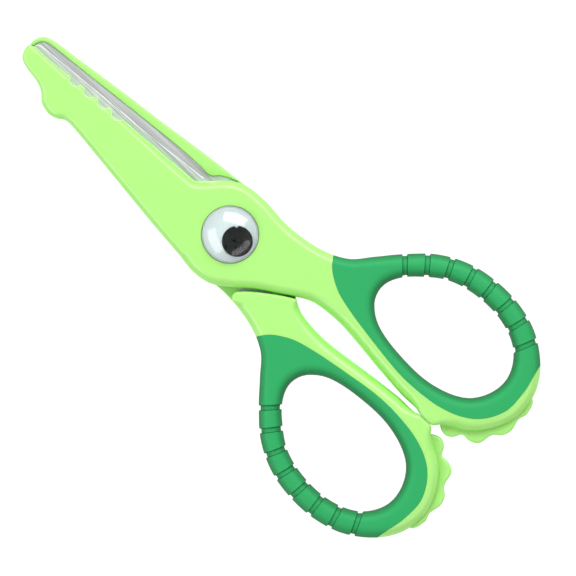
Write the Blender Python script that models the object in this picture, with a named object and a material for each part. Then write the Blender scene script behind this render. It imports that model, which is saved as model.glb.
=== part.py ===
"""Children's craft scissors shaped like a crocodile, 129 mm long, lying closed on their back half.

The pivot's axis is Z through the origin, +X runs to the tips, and Z = 0 is the plane that the scissors lie on.
Both halves share one shape. The front half is built where it lies, with its jaw on +Y, its handle on -Y and the
upper layer of the pivot. The back half is the same shape turned half a turn about the X direction, so a "local"
coordinate below is one in the frame of the front half. Lengths are in millimetres until a mesh is made.
"""

import math

import bmesh
import bpy
from mathutils import Vector
from mathutils.geometry import interpolate_bezier

MM = 0.001
HALF = 3.8  # thickness of one half's layer, and so the height of the shear plane
THICKNESS = 2 * HALF
PLAY = 0.15  # from the shear plane to the inner face of each half, and between pieces that rest on each other
FIT = 0.25  # gap round a piece that is set into another
INNER = HALF + PLAY  # local height of a half's inner face
STEP = 2.0  # spacing of the points along a smooth outline
BEYOND = 2.0  # how far a cutter runs past what it cuts

# Edge rounding, as (across, down): a firm round on jaw and arm, and a nearly round tube at the finger ring.
ARM_ROUND = (1.3, 1.3)
RING_ROUND = (2.4, 3.2)
RING_FROM, RING_TO = -19.0, -31.0  # the x over which one changes into the other
ROUND_STEPS = 3

# The jaw's cover thins towards the tip.
TAPER_START, TAPER_END, TAPER_LEFT = 12.0, 58.0, 0.74

# Outline of one half, anticlockwise from the tip: back along the jaw's outer side, round the pivot, along the
# side that faces the other handle, round the finger ring, back along the arm and out along the blade's side.
TIP = [(57.9, 0.8), (57.5, 2.4), (56.4, 3.5), (54.3, 4.1)]
SNOUT = [
    (52.0, 4.45), (50.3, 4.95), (49.0, 5.8), (47.6, 7.1), (45.2, 7.8), (43.2, 7.4), (41.6, 6.4), (39.6, 6.3),
]  # fmt: skip
FRONT_DISC = [(14.0, 9.45), (5.0, 10.4), (0.0, 11.0), (-4.3, 10.15), (-8.1, 7.6)]
FRONT_JAW = [*SNOUT, (32.0, 7.2), (24.0, 8.2), *FRONT_DISC]
BACK_DISC = [(14.0, 8.8), (8.0, 9.35), (2.0, 9.75), (-4.0, 9.25), (-8.1, 7.6)]
BACK_JAW = [(50.0, 4.6), (44.0, 5.35), (36.0, 6.3), (28.0, 7.15), *BACK_DISC]
SLOT_EDGE = [(-8.1, 7.6), (-12.0, 4.4), (-16.0, 1.9), (-18.9, 0.0)]
INNER_ARM = [(-22.5, -1.85), (-25.0, -2.4), (-29.0, -2.65), (-33.0, -2.45), (-41.0, -1.25), (-49.0, -0.45)]
RING_INSIDE = [(-54.0, -0.7), (-60.5, -2.1), (-65.5, -5.5), (-69.0, -10.5), (-70.1, -15.0), (-68.9, -20.7)]
RING_OUTSIDE = [(-65.3, -25.7), (-60.5, -29.1), (-54.5, -31.1), (-48.0, -31.5), (-41.0, -30.5), (-34.5, -27.4)]
OUTER_ARM = [(-29.3, -22.6), (-25.0, -17.4), (-21.5, -13.7), (-16.0, -10.9), (-8.0, -9.85), (0.0, -10.3)]
HEEL = [(5.0, -9.6), (8.2, -7.8), (11.2, -4.7), (13.4, -3.05)]
BLADE_SIDE = [(13.4, -3.05), (32.4, -1.95), (47.3, -0.8), (57.3, -0.3)]

FINGER_HOLE = [
    (-30.6, -13.7), (-31.5, -17.2), (-34.2, -20.4), (-40.0, -24.7), (-47.0, -26.5), (-54.0, -26.1), (-59.7, -23.5),
    (-62.6, -18.7), (-62.4, -13.6), (-59.0, -9.1), (-52.0, -6.5), (-44.0, -6.2), (-36.0, -7.6), (-31.9, -10.5),
]  # fmt: skip

# Where the handle becomes full thickness: the other half's edge turns in front of this shoulder.
SHOULDER = [(-20.3, 1.0), (-18.9, -0.6), (-16.0, -2.6), (-12.0, -5.75), (-9.5, -8.0), (-8.8, -9.2), (-8.8, -12.5)]

# A rim along the jaw's outer side stands past the shear plane and guards the other blade's edge and tip.
RIM_HEIGHT = 0.5
RIM_EDGE = [
    (57.05, 0.5), (56.9, 1.3), (56.2, 2.4), (54.8, 2.9), (44.0, 3.85), (32.0, 4.95), (20.0, 5.9), (12.4, 6.1),
]  # fmt: skip
RIM_HEEL_RADIUS, RIM_HEEL_FROM, RIM_HEEL_TO = 13.0, 29.0, 53.0  # an arc about the pivot, in degrees

# Four round gaps between the crocodile's teeth, in the edge of the cover.
TOOTH_GAPS, TOOTH_GAP_START, TOOTH_GAP_PITCH = 4, (34.3, -2.4), (3.77, 0.27)
TOOTH_GAP_RADIUS = 1.55

# The line where the soft grip meets the hard frame, from the arm's outer edge to the far end of the ring.
SEAM = [
    (-18.3, -13.2), (-18.9, -11.5), (-21.3, -8.8), (-26.0, -6.45), (-38.0, -4.2), (-48.0, -3.15), (-57.0, -4.1),
    (-63.5, -7.1), (-67.1, -12.4), (-67.3, -18.0), (-66.2, -23.5), (-65.8, -27.0),
]  # fmt: skip
SEAM_OUTSIDE = [(-66.0, -36.0), (-22.0, -36.0)]
CORE_DEPTH, CORE_BOTTOM, CORE_TOP = 1.45, 2.0, 5.6  # the hard core that the soft grip is moulded round
CORE_ROOT = 0.9  # how far the core runs on into the frame

# Grooves across the grip, evenly spaced along the middle of the ring.
GROOVES, GROOVE_WIDTH, GROOVE_DEPTH, GROOVE_REACH = 8, 1.2, 0.45, 4.2
GROOVE_PATH = [(-30.9, -20.7), (-38.8, -26.8), (-47.9, -29.1), (-56.8, -28.1), (-61.0, -26.0)]

# The scalloped frill round the end of the ring, and the flat stop that meets the other handle.
FRILL = [
    (-58.6, -3.4), (-59.3, -1.4), (-61.3, -0.65), (-63.0, -1.5), (-64.3, -3.3), (-66.0, -3.25), (-67.9, -3.9),
    (-68.6, -6.4), (-70.1, -8.6), (-71.0, -10.4), (-70.5, -13.3), (-71.0, -15.4), (-69.5, -18.6), (-66.5, -18.0),
    (-66.5, -11.0), (-62.5, -5.2),
]  # fmt: skip
FRILL_THICKNESS = 3.0
STOP = [(-53.6, -0.9), (-54.4, -PLAY), (-58.1, -PLAY), (-58.9, -1.9), (-56.0, -2.6)]
STOP_THICKNESS = 5.8

# Steel blade with its tang, and the ground bevel along its cutting edge.
BLADE_THICKNESS, BEVEL_WIDTH, EDGE_LAND = 1.0, 0.55, 0.2
CUTTING_EDGE = [(12.8, -4.75), (24.0, -3.65), (38.0, -2.75), (55.9, -1.5)]
BLADE_TIP = [(55.9, -1.5), (56.5, -1.15), (56.75, -0.5), (56.65, 0.8), (56.0, 2.1), (54.5, 2.65)]
BLADE_SPINE = [(54.5, 2.65), (44.0, 3.6), (32.0, 4.7), (20.0, 5.65), (11.6, 5.95)]
TANG = [
    (11.6, 5.95), (10.6, 6.9), (8.8, 8.1), (4.6, 8.9), (0.0, 9.2), (-4.4, 8.1), (-8.2, 5.2), (-12.5, 1.2), (-17.0, -1.9),
    (-22.0, -4.4), (-22.6, -6.6), (-20.6, -8.0), (-12.0, -7.9), (-6.0, -8.2), (0.0, -8.9), (5.6, -8.1),
    (8.6, -6.1), (11.3, -4.9), (12.8, -4.75),
]  # fmt: skip

# Pivot: a steel rivet whose flat head lies in the back cover, closed over a washer in the front cover.
RIVET_RADIUS, RIVET_BORE, RIVET_HEAD_RADIUS, RIVET_HEAD = 2.0, 2.25, 4.6, 0.9
WASHER_RADIUS, WASHER_SEAT, WASHER_TOP = 4.4, 5.4, 5.85
RIVET_CLOSE_RADIUS, RIVET_TOP = 3.2, 6.5
COUNTERBORE_RADIUS = 4.9

# Wiggle eye: a self-adhesive pad, a white base, a loose pupil and a clear dome.
EYE_RADIUS, EYE_SEAT, EYE_RECESS_RADIUS = 6.0, 6.55, 6.3
PAD_RADIUS, PAD_BOTTOM, PAD_TOP = 5.6, 6.7, 7.0
BASE_BOTTOM, BASE_TOP = 7.15, 7.5
DOME_BOTTOM, DOME_HEIGHT, DOME_SKIRT, DOME_WALL = 7.65, 2.8, 0.9, 0.4
PUPIL_RADIUS, PUPIL_BOTTOM, PUPIL_THICKNESS, PUPIL_OFFSET = 3.2, 7.8, 0.6, 2.05
ROUND_SEGMENTS = 40


def material(name, colour, roughness, metallic=0.0, alpha=1.0):
    """A Principled material in one colour, as linear red, green and blue."""
    made = bpy.data.materials.new(name)
    made.use_nodes = True
    shader = made.node_tree.nodes["Principled BSDF"]
    shader.inputs["Base Color"].default_value = (*colour, 1.0)
    shader.inputs["Roughness"].default_value = roughness
    shader.inputs["Metallic"].default_value = metallic
    shader.inputs["Alpha"].default_value = alpha
    return made


def smooth_run(points, step=STEP, before=None, after=None):
    """Points about a step apart along a smooth curve through the given ones, both ends included."""
    knots = [Vector((*p, 0.0)) for p in points]
    first = Vector((*before, 0.0)) if before else 2 * knots[0] - knots[1]
    last = Vector((*after, 0.0)) if after else 2 * knots[-1] - knots[-2]
    guides = [first, *knots, last]
    run = [knots[0].xy]
    for previous, start, end, following in zip(guides, guides[1:], guides[2:], guides[3:]):
        reach = (end - start).length / 3
        leave = start + (end - previous).normalized() * reach
        arrive = end - (following - start).normalized() * reach
        count = max(1, round(3 * reach / step))
        run += [p.xy for p in interpolate_bezier(start, leave, arrive, end, count + 1)[1:]]
    return run


def smooth_loop(points, step=STEP):
    """The same round a closed curve."""
    return smooth_run([*points, points[0]], step, points[-1], points[1])[:-1]


def inset(loop, distance):
    """The loop moved to its left, into the material, by a distance or by one for each point."""
    moved = []
    for i, point in enumerate(loop):
        before = (point - loop[i - 1]).normalized()
        after = (loop[(i + 1) % len(loop)] - point).normalized()
        corner = (before.orthogonal() + after.orthogonal()).normalized()
        share = max(0.5, corner.dot(after.orthogonal()))
        by = distance[i] if isinstance(distance, list) else distance
        moved.append(point + corner * by / share)
    return moved


def new_object(name, mesh_maker, parent, finish=None):
    """An object made from a bmesh in millimetres. With no material it is a helper that isn't part of the model."""
    made = bmesh.new()
    mesh_maker(made)
    bmesh.ops.recalc_face_normals(made, faces=made.faces)
    bmesh.ops.scale(made, vec=(MM, MM, MM), verts=made.verts)
    mesh = bpy.data.meshes.new(name)
    made.to_mesh(mesh)
    made.free()
    obj = bpy.data.objects.new(name, mesh)
    bpy.context.scene.collection.objects.link(obj)
    obj.parent = parent
    if finish:
        mesh.materials.append(finish)
        mesh.shade_smooth()
        mesh.set_sharp_from_angle(angle=math.radians(35))
    else:
        obj.hide_render = True
        obj.display_type = "WIRE"
    return obj


def skin(made, stacks):
    """Walls up each stack of rows of vertices, then a floor across the first rows and a lid across the last."""
    for rows in stacks:
        for low, high in zip(rows, rows[1:]):
            for i in range(len(low)):
                made.faces.new((low[i - 1], low[i], high[i], high[i - 1]))
    for level in (0, -1):
        edges = [made.edges.get((rows[level][i - 1], v)) for rows in stacks for i, v in enumerate(rows[level])]
        bmesh.ops.triangle_fill(made, use_beauty=True, edges=edges, normal=(0, 0, 1))


def plate(name, loops, levels, parent, finish=None):
    """A plate through (inset, height) levels. The outside comes first, anticlockwise; holes run clockwise."""

    def build(made):
        stacks = []
        for loop in loops:
            stacks.append([[made.verts.new((*p, z)) for p in inset(loop, distance)] for distance, z in levels])
        skin(made, stacks)

    return new_object(name, build, parent, finish)


def turned(name, profile, parent, finish=None, centre=(0.0, 0.0)):
    """A solid of revolution about Z from a closed (radius, height) profile."""

    def ring(made, radius, height):
        if radius == 0:
            return [made.verts.new((*centre, height))] * ROUND_SEGMENTS
        angles = [math.tau * i / ROUND_SEGMENTS for i in range(ROUND_SEGMENTS)]
        corners = [(centre[0] + radius * math.cos(a), centre[1] + radius * math.sin(a)) for a in angles]
        return [made.verts.new((*c, height)) for c in corners]

    def build(made):
        rings = [ring(made, r, z) for r, z in profile]
        for low, high in zip(rings, rings[1:] + rings[:1]):
            for i in range(ROUND_SEGMENTS):
                corners = list(dict.fromkeys((low[i - 1], low[i], high[i], high[i - 1])))
                if len(corners) > 2:
                    made.faces.new(corners)

    return new_object(name, build, parent, finish)


def boolean(target, operation, *others):
    """Cuts, joins or intersects the target with each of the others."""
    for other in others:
        step = target.modifiers.new(other.name, "BOOLEAN")
        step.operation = operation
        step.solver = "EXACT"
        step.object = other


def arc(radius, start, end, count=6):
    """Points along an arc about the pivot, from one angle in degrees to another."""
    angles = [math.radians(start + (end - start) * i / count) for i in range(count + 1)]
    return [Vector((radius * math.cos(a), radius * math.sin(a))) for a in angles]


def half_outline(jaw_side):
    """Outside of one half, and its finger hole."""
    jaw = smooth_run(TIP + jaw_side)
    blade_side = smooth_run(BLADE_SIDE, 3 * STEP)
    return [jaw[:-1] + handle_outline()[0][:-1] + blade_side, smooth_loop(FINGER_HOLE)]


def handle_outline():
    """The same without the jaw."""
    around = SLOT_EDGE + INNER_ARM + RING_INSIDE + RING_OUTSIDE + OUTER_ARM + HEEL
    return [smooth_run(around), smooth_loop(FINGER_HOLE)]


def ring_share(point):
    """0 on the jaw and arm, 1 at the finger ring."""
    share = min(1.0, max(0.0, (RING_FROM - point.x) / (RING_FROM - RING_TO)))
    return share * share * (3 - 2 * share)


def body(name, loops, parent, finish=None, depth=0.0):
    """The whole of one half at full thickness with rounded edges, less a depth all round."""

    def rounding(point):
        share = ring_share(point)
        return [a + (b - a) * share for a, b in zip(ARM_ROUND, RING_ROUND)]

    def top(point):
        along = (point.x - TAPER_START) / (TAPER_END - TAPER_START)
        return HALF + HALF * (1 - (1 - TAPER_LEFT) * min(1.0, max(0.0, along)))

    def build(made):
        stacks = []
        for loop in loops:
            rows = []
            for step in range(2 * (ROUND_STEPS + 1)):
                upper = step > ROUND_STEPS
                turn = (2 * ROUND_STEPS + 1 - step if upper else step) / ROUND_STEPS * math.pi / 2
                across = [depth + (rounding(p)[0] - depth) * (1 - math.sin(turn)) for p in loop]
                row = []
                for point, moved in zip(loop, inset(loop, across)):
                    down = depth + (rounding(point)[1] - depth) * (1 - math.cos(turn))
                    row.append(made.verts.new((*moved, top(point) - down if upper else down)))
                rows.append(row)
            stacks.append(rows)
        skin(made, stacks)

    return new_object(name, build, parent, finish)


def swing_spaces(side, parent):
    """Two cutters under the jaw side of a half: one keeps the rim, and a lower one trims the rim's height."""
    shoulder = smooth_run(SHOULDER)
    lower = shoulder + [Vector(p) for p in [(62.0, -12.5), (62.0, 14.0), (-20.3, 14.0)]]
    rim = smooth_run(RIM_EDGE, 3 * STEP) + arc(RIM_HEEL_RADIUS, RIM_HEEL_FROM, RIM_HEEL_TO)
    before, after = [(62.0, -12.5), (62.0, 0.5)], [(9.2, 14.0), (-20.3, 14.0)]
    upper = shoulder + [Vector(p) for p in before] + rim + [Vector(p) for p in after]
    return (
        plate(f"{side}_rim_space", [lower], [(0, -BEYOND), (0, INNER - RIM_HEIGHT)], parent),
        plate(f"{side}_swing_space", [upper], [(0, -BEYOND), (0, INNER)], parent),
    )


def grip_zone(name, spread, parent):
    """A tall block over the part of the handle that the soft grip covers."""
    loop = smooth_run(SEAM) + [Vector(p) for p in SEAM_OUTSIDE]
    return plate(name, [loop], [(-spread, -BEYOND), (-spread, THICKNESS + BEYOND)], parent)


def grip_core(side, parent):
    """The hard core inside the grip, and the wider space that it takes in the grip."""
    loops = handle_outline()
    core = plate(f"{side}_core", loops, [(CORE_DEPTH, CORE_BOTTOM), (CORE_DEPTH, CORE_TOP)], parent)
    boolean(core, "INTERSECT", grip_zone(f"{side}_core_zone", CORE_ROOT, parent))
    wide = CORE_DEPTH - FIT
    space = plate(f"{side}_core_space", loops, [(wide, CORE_BOTTOM - FIT), (wide, CORE_TOP + FIT)], parent)
    return core, space


def groove_cutter(side, loops, parent):
    """Slabs across the ring, hollowed so that each cuts an even depth all round it."""
    path = smooth_run(GROOVE_PATH, 0.5)

    def build(made):
        for number in range(GROOVES):
            at = round(number * (len(path) - 2) / (GROOVES - 1))
            along = (path[at + 1] - path[at]).normalized() * GROOVE_WIDTH / 2
            across = along.orthogonal().normalized() * GROOVE_REACH
            corners = [path[at] + a * along + b * across for a, b in ((-1, -1), (1, -1), (1, 1), (-1, 1))]
            base = made.faces.new([made.verts.new((*corner, -BEYOND)) for corner in corners])
            grown = bmesh.ops.extrude_face_region(made, geom=[base])["geom"]
            rise = [v for v in grown if isinstance(v, bmesh.types.BMVert)]
            bmesh.ops.translate(made, vec=(0, 0, THICKNESS + 2 * BEYOND), verts=rise)

    slabs = new_object(f"{side}_grooves", build, parent)
    boolean(slabs, "DIFFERENCE", body(f"{side}_groove_floor", loops, parent, depth=GROOVE_DEPTH))
    return slabs


def blade_loop():
    """Outline of the steel, and for each of its points the share of the ground bevel that it has."""
    edge = smooth_run(CUTTING_EDGE, 4 * STEP)
    rest = smooth_run(BLADE_TIP, 1.0)[:-1] + smooth_run(BLADE_SPINE, 6 * STEP)[:-1] + smooth_run(TANG)
    return edge[:-1] + rest[:-1], [1.0] * len(edge) + [0.0] * (len(rest) - 2)


def drill(name, radius, bottom, top, parent):
    return turned(name, [(0, bottom), (radius, bottom), (radius, top), (0, top)], parent)


def blade(side, parent, finish):
    """The steel of one half: flat on the shear plane, ground back on the other face along its edge."""
    loop, ground = blade_loop()
    bevel = [BEVEL_WIDTH * share for share in ground]
    levels = [(0, INNER), (0, INNER + EDGE_LAND), (bevel, INNER + BLADE_THICKNESS)]
    steel = plate(f"{side}_blade", [loop], levels, parent, finish)
    boolean(steel, "DIFFERENCE", drill(f"{side}_blade_bore", RIVET_BORE, HALF - 1, HALF + 3, parent))
    return steel


def frame(side, loops, parent, finish):
    """The hard frame: jaw cover, pivot disc, arm, grip core, frill and stop in one moulding."""
    hard = body(f"{side}_frame", loops, parent, finish)
    boolean(hard, "DIFFERENCE", *swing_spaces(side, parent), grip_zone(f"{side}_grip_space", FIT, parent))
    middle = [(0, HALF - FRILL_THICKNESS / 2), (0, HALF + FRILL_THICKNESS / 2)]
    frill = plate(f"{side}_frill", [smooth_loop(FRILL, 0.9)], middle, parent)
    middle = [(0, HALF - STOP_THICKNESS / 2), (0, HALF + STOP_THICKNESS / 2)]
    stop = plate(f"{side}_stop", [[Vector(p) for p in STOP]], middle, parent)
    boolean(hard, "UNION", grip_core(side, parent)[0], frill, stop)
    pocket = plate(
        f"{side}_blade_pocket",
        [blade_loop()[0]],
        [(-FIT, HALF - 1), (-FIT, INNER + BLADE_THICKNESS + FIT)],
        parent,
    )
    boolean(hard, "DIFFERENCE", pocket)
    for gap in range(TOOTH_GAPS):
        centre = [a + b * gap for a, b in zip(TOOTH_GAP_START, TOOTH_GAP_PITCH)]
        low, high = HALF - 1, THICKNESS + 1
        profile = [(0, low), (TOOTH_GAP_RADIUS, low), (TOOTH_GAP_RADIUS, high), (0, high)]
        boolean(hard, "DIFFERENCE", turned(f"{side}_tooth_gap_{gap}", profile, parent, centre=centre))
    boolean(hard, "DIFFERENCE", drill(f"{side}_frame_bore", RIVET_BORE, HALF - 1, THICKNESS + 1, parent))
    return hard


def grip(side, loops, parent, finish):
    """The soft grip, moulded round the core of the ring and flush with the frame."""
    soft = body(f"{side}_grip", loops, parent, finish)
    boolean(soft, "INTERSECT", grip_zone(f"{side}_grip_zone", 0, parent))
    space = bpy.data.objects[f"{side}_core_space"]
    boolean(soft, "DIFFERENCE", space, groove_cutter(side, loops, parent))
    return soft


def half(side, parent, jaw_side, finishes):
    """One half, less the seats in its outer face."""
    hard = frame(side, half_outline(jaw_side), parent, finishes["frame"])
    grip(side, handle_outline(), parent, finishes["grip"])
    blade(side, parent, finishes["steel"])
    return hard


def rivet_and_washer(parent, finish):
    profile = [
        (0, 0), (RIVET_HEAD_RADIUS, 0), (RIVET_HEAD_RADIUS, RIVET_HEAD - 0.2), (RIVET_HEAD_RADIUS - 0.2, RIVET_HEAD),
        (RIVET_RADIUS, RIVET_HEAD), (RIVET_RADIUS, WASHER_TOP + PLAY), (RIVET_CLOSE_RADIUS, WASHER_TOP + PLAY),
        (RIVET_CLOSE_RADIUS - 0.1, RIVET_TOP - 0.2), (RIVET_CLOSE_RADIUS - 1, RIVET_TOP), (0, RIVET_TOP),
    ]  # fmt: skip
    turned("pivot_rivet", profile, parent, finish)
    low = WASHER_SEAT + PLAY
    ring = [(RIVET_BORE, low), (WASHER_RADIUS, low), (WASHER_RADIUS, WASHER_TOP), (RIVET_BORE, WASHER_TOP)]
    turned("rivet_washer", ring, parent, finish)


def dome_profile(radius, skirt, height, count=8):
    """Outside of a dome from its rim to its crown: a straight skirt and a quarter of an ellipse."""
    angles = [math.pi / 2 * i / count for i in range(count + 1)]
    crown = height - skirt
    return [(radius, 0.0)] + [(radius * math.cos(a), skirt + crown * math.sin(a)) for a in angles]


def wiggle_eye(front, pupil_pivot, finishes):
    """The four pieces of the eye, which sit over the rivet in the front cover."""
    pad = [(0, PAD_BOTTOM), (PAD_RADIUS, PAD_BOTTOM), (PAD_RADIUS, PAD_TOP), (0, PAD_TOP)]
    turned("eye_adhesive", pad, front, finishes["adhesive"])
    base = [(0, BASE_BOTTOM), (EYE_RADIUS, BASE_BOTTOM), (EYE_RADIUS, BASE_TOP), (0, BASE_TOP)]
    turned("eye_base", base, front, finishes["white"])
    outside = dome_profile(EYE_RADIUS, DOME_SKIRT, DOME_HEIGHT)
    inside = dome_profile(EYE_RADIUS - DOME_WALL, DOME_SKIRT, DOME_HEIGHT - DOME_WALL)
    shell = [(r, DOME_BOTTOM + z) for r, z in outside + inside[::-1]]
    turned("eye_dome", shell, front, finishes["clear"])
    disc = [
        (0, PUPIL_BOTTOM), (PUPIL_RADIUS - 0.1, PUPIL_BOTTOM), (PUPIL_RADIUS, PUPIL_BOTTOM + 0.15),
        (PUPIL_RADIUS, PUPIL_BOTTOM + PUPIL_THICKNESS - 0.15), (PUPIL_RADIUS - 0.15, PUPIL_BOTTOM + PUPIL_THICKNESS),
        (0, PUPIL_BOTTOM + PUPIL_THICKNESS),
    ]  # fmt: skip
    turned("eye_pupil", disc, pupil_pivot, finishes["black"], centre=(-PUPIL_OFFSET, 0))


def seats(front_frame, front, back_frame, back):
    """Recesses in the outer faces: eye and washer in front, rivet head behind."""
    eye = drill("eye_recess", EYE_RECESS_RADIUS, EYE_SEAT, THICKNESS + 1, front)
    washer = drill("washer_recess", COUNTERBORE_RADIUS, WASHER_SEAT, THICKNESS + 1, front)
    boolean(front_frame, "DIFFERENCE", eye, washer)
    head = drill("rivet_head_recess", COUNTERBORE_RADIUS, THICKNESS - RIVET_HEAD - PLAY, THICKNESS + 1, back)
    boolean(back_frame, "DIFFERENCE", head)


def pivot_empty(name, height=0.0, turn=0.0):
    """An empty on the pivot's axis."""
    made = bpy.data.objects.new(name, None)
    bpy.context.scene.collection.objects.link(made)
    made.location = (0, 0, height * MM)
    made.rotation_euler = (turn, 0, 0)
    return made


def main():
    for old in list(bpy.data.objects):
        bpy.data.objects.remove(old)
    finishes = {
        "frame": material("lime_plastic", (0.43, 0.87, 0.21), 0.35),
        "grip": material("green_soft_rubber", (0.04, 0.46, 0.14), 0.55),
        "steel": material("blade_steel", (0.62, 0.64, 0.63), 0.3, 1.0),
        "rivet": material("rivet_steel", (0.66, 0.67, 0.68), 0.25, 1.0),
        "adhesive": material("adhesive_foam", (0.8, 0.8, 0.78), 0.8),
        "white": material("eye_white", (0.86, 0.88, 0.88), 0.35),
        "black": material("eye_black", (0.012, 0.014, 0.013), 0.25),
        "clear": material("clear_plastic", (0.95, 0.97, 0.97), 0.05, alpha=0.3),
    }
    front = pivot_empty("front_half")
    back = pivot_empty("back_half", THICKNESS, math.pi)
    pupil_pivot = pivot_empty("pupil_pivot")
    pupil_pivot.parent = front
    front_frame = half("front", front, FRONT_JAW, finishes)
    back_frame = half("back", back, BACK_JAW, finishes)
    seats(front_frame, front, back_frame, back)
    rivet_and_washer(None, finishes["rivet"])
    wiggle_eye(front, pupil_pivot, finishes)


main()
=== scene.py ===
"""Looks of the crocodile craft scissors: smooth mouldings, grooved soft grips, ground steel, wiggle eye.

Lengths are in millimetres until a mesh is made. Outlines are in the frame of the front half. The back half
is the same shape turned half a turn about the X direction, as in the CAD, but its jaw has no snout.
"""

import math

import bmesh
import bpy
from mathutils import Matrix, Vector
from mathutils.geometry import interpolate_bezier


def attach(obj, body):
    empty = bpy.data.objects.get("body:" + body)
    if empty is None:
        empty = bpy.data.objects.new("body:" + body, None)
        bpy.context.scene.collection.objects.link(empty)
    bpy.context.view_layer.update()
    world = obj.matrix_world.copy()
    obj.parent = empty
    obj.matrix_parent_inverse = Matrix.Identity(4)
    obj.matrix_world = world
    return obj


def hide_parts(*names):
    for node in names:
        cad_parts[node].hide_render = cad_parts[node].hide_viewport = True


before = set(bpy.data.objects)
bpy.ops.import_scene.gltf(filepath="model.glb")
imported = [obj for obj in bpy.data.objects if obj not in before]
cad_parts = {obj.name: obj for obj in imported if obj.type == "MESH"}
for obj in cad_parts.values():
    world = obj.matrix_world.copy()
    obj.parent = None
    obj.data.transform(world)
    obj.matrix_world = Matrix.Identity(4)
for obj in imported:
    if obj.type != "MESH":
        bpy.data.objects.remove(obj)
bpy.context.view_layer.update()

MM = 0.001
LAYER = 3.8  # thickness of one half's layer
THICKNESS = 2 * LAYER
INNER = LAYER + 0.15  # local height of a half's inner face
FLOOR_DROP = 0.06  # the steel stands this far out of the plastic round it
BEYOND = 2.0  # how far a cutter runs past what it cuts

# Spacing of points along an outline: fine round the tip, disc, stop and grooves, coarser elsewhere. A little
# slack keeps a point that lies a hair closer than the spacing.
FINE, COARSE, SLACK = 0.3, 0.9, 0.99
FINE_SNOUT, FINE_DISC, FINE_ARM = 38.0, 2.0, -22.0  # fine past the first X, and between the other two

# Profiles of an outer edge, from the flat face to the side, as shares of its rounding across and down: a
# bevel with soft corners on the flat parts, the same with a thin lip beside the blade, and a round on the
# finger ring.
BEVELLED = [
    (1, 0), (0.86, 0.02), (0.72, 0.07), (0.58, 0.155), (0.4, 0.32), (0.18, 0.58), (0.05, 0.8), (0, 1),
]  # fmt: skip
LIPPED = [
    (1, 0), (0.86, 0.02), (0.72, 0.07), (0.58, 0.155), (0.34, 0.45), (0.24, 0.69), (0.12, 0.7), (0, 0.765),
]  # fmt: skip
LIP_WIDTH, LIP_DROP = 0.17, 0.09  # the lip's width and fall round the teeth
ROUND = [(1 - math.sin(math.pi * i / 14), 1 - math.cos(math.pi * i / 14)) for i in range(8)]

# Rounding of the outer edges as (across, down), by place.
JAW_ROUND, ARM_ROUND, RING_ROUND = (1.45, 1.3), (1.9, 1.6), (2.35, 3.1)
TIP_ROUND, TEETH_ROUND, BLADE_SIDE_ROUND = (0.9, 0.8), (1.25, 1.1), (2.0, 1.5)
RIM_ROUND, RIM_EDGE_ROUND, SHOULDER_ROUND = (0.4, 0.4), (0.24, 0.2), (0.5, 0.5)
RAISED_EASING = 2.5  # the length over which the outline's rounding turns into that of a path across a half

# Where along X one rounding starts to turn into the next, and over what length.
RING_START, RING_EASING = -19.0, 12.0
DISC_END, HEEL_EASING = 4.0, 10.0
HEEL_END, BLADE_SIDE_EASING = 14.0, 20.0
TEETH_END, TEETH_EASING = 47.0, 5.0
SNOUT_START, SNOUT_EASING = 46.0, 8.0
JAW_SIDE = 2.0  # past this Y, the outline ahead of the disc is the jaw's outer side
LIP_START, LIP_EASING, LIP_END = 6.0, 6.0, 57.0  # the same for the lip beside the blade

# The jaw's cover thins towards the tip.
TAPER_START, TAPER_END, TAPER_LEFT, TAPER_SLICE = 12, 58, 0.74, 6

# The outline of one half, anticlockwise from the tip. The jaws and the sides of the pivot disc differ.
TIP = [(57.5, -0.17), (57.85, 0.15), (57.97, 0.9), (57.55, 2.35), (56.6, 3.4), (54.3, 4.1)]
SNOUT = [
    (52.0, 4.45), (50.3, 4.95), (49.0, 5.8), (47.6, 7.1), (45.2, 7.8), (43.2, 7.4), (41.6, 6.4), (39.6, 6.3),
]  # fmt: skip
FRONT_JAW = [*SNOUT, (32.0, 7.2), (24.0, 8.2), (14.0, 9.45), (5.0, 10.4), (0.0, 11.0)]
FRONT_DISC_SIDE = [(-4.3, 10.15), (-8.1, 7.6)]
BACK_JAW = [(50.0, 4.6), (44.0, 5.35), (36.0, 6.3), (28.0, 7.15), (14.0, 8.8), (8.0, 9.35), (2.0, 9.75)]
BACK_DISC_SIDE = [(-4.0, 9.25), (-8.1, 7.6)]
SLOT_EDGE = [(-8.1, 7.6), (-12.0, 4.4), (-16.0, 1.9), (-18.9, 0.0)]
INNER_ARM = [(-22.0, -1.6), (-25.0, -2.15), (-29.0, -2.35), (-33.0, -2.1), (-41.0, -1.15), (-49.0, -0.4)]
STOP_RISE = [(-52.0, -0.42), (-53.6, -0.4), (-54.5, -0.13), (-55.4, -0.03), (-57.2, -0.03)]
STOP_FALL = [(-58.0, -0.1), (-58.6, -0.6), (-59.3, -1.4)]
RING_INSIDE = [(-60.7, -2.2), (-65.5, -5.2), (-69.0, -10.3), (-70.1, -15.0), (-69.0, -20.4)]
RING_OUTSIDE = [
    (-66.0, -24.9), (-60.5, -29.0), (-54.5, -30.95), (-48.0, -31.35), (-41.0, -30.2), (-34.5, -27.0),
]  # fmt: skip
OUTER_ARM = [(-29.3, -22.2), (-25.0, -17.3), (-21.5, -13.4), (-16.0, -10.85), (-8.0, -9.65), (0.0, -10.15)]
HEEL = [(5.0, -9.6), (8.2, -7.8), (11.2, -4.7), (12.9, -3.15), (15.0, -2.85)]
BLADE_SIDE = [(15.0, -2.85), (24.0, -2.4), (32.4, -1.95)]
BEYOND_TEETH = [(47.3, -0.8), (52.0, -0.4), (56.0, -0.28), (57.5, -0.17)]
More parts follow.
